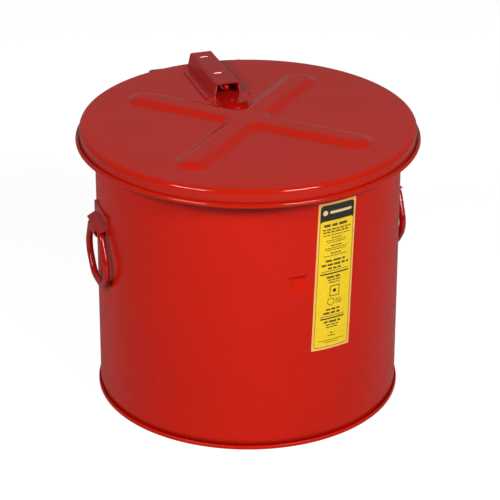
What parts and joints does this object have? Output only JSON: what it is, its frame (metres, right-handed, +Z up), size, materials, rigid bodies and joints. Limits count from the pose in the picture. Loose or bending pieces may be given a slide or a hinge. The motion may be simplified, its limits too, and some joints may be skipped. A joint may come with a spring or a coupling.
{
  "type": "oily waste can",
  "caption": "Round red steel can with a hinged pressed lid, two drop ring handles and a housing on the lid over a fusible link.",
  "frame": {"origin": "on the tank's axis, on the floor it stands on, at the centre of the ring under its bottom seam", "axes": "+Z up along the tank's axis; the lid's hinge is at +Y; the front, with the dimple and the label, faces -Y; the left handle is at -X, and the right one is 2.7 degrees round from +X towards the hinge"},
  "size_m": [0.3979, 0.4082, 0.35],
  "materials": {
    "red_enamel_tank": "gloss",
    "red_enamel_lid": "gloss",
    "red_enamel_fittings": "gloss",
    "bare_steel": "satin",
    "brass": "satin",
    "solder": "satin",
    "label_film": "gloss"
  },
  "bodies": {
    "tank": {"tank_shell": "red_enamel_tank", "rim_wire": "bare_steel", "tank_bottom": "red_enamel_tank", "bottom_seam": "red_enamel_tank", "label": "label_film", "handle_clip_left": "red_enamel_fittings", "handle_clip_right": "red_enamel_fittings", "hinge_bracket": "red_enamel_fittings", "bracket_rivets": "red_enamel_fittings", "hinge_pin": "bare_steel"},
    "lid": {"lid_panel": "red_enamel_lid", "hem_wire": "bare_steel", "lid_hinge_leaf": "red_enamel_fittings", "link_housing": "red_enamel_fittings", "finger_lip": "red_enamel_fittings", "lip_rivet": "red_enamel_fittings", "link_rod": "red_enamel_fittings", "link_front_plate": "brass", "link_rear_plate": "brass", "link_solder": "solder", "link_eyelets": "brass", "link_anchor": "bare_steel"},
    "left_bail": {"bail_left": "red_enamel_fittings"},
    "right_bail": {"bail_right": "red_enamel_fittings"}
  },
  "joints": [
    {"name": "lid_hinge", "type": "hinge", "parent": "tank", "child": "lid", "pos_m": [0, 0.2045, 0.32], "axis": [-1, 0, 0], "range_deg": [0, 95]},
    {"name": "left_bail_pivot", "type": "hinge", "parent": "tank", "child": "left_bail", "pos_m": [-0.1836, 0, 0.2234], "axis": [0, 1, 0], "range_deg": [0, 90]},
    {"name": "right_bail_pivot", "type": "hinge", "parent": "tank", "child": "right_bail", "pos_m": [0.1834, 0.00865, 0.2234], "axis": [0.0471, -0.9989, 0], "range_deg": [0, 90]}
  ]
}
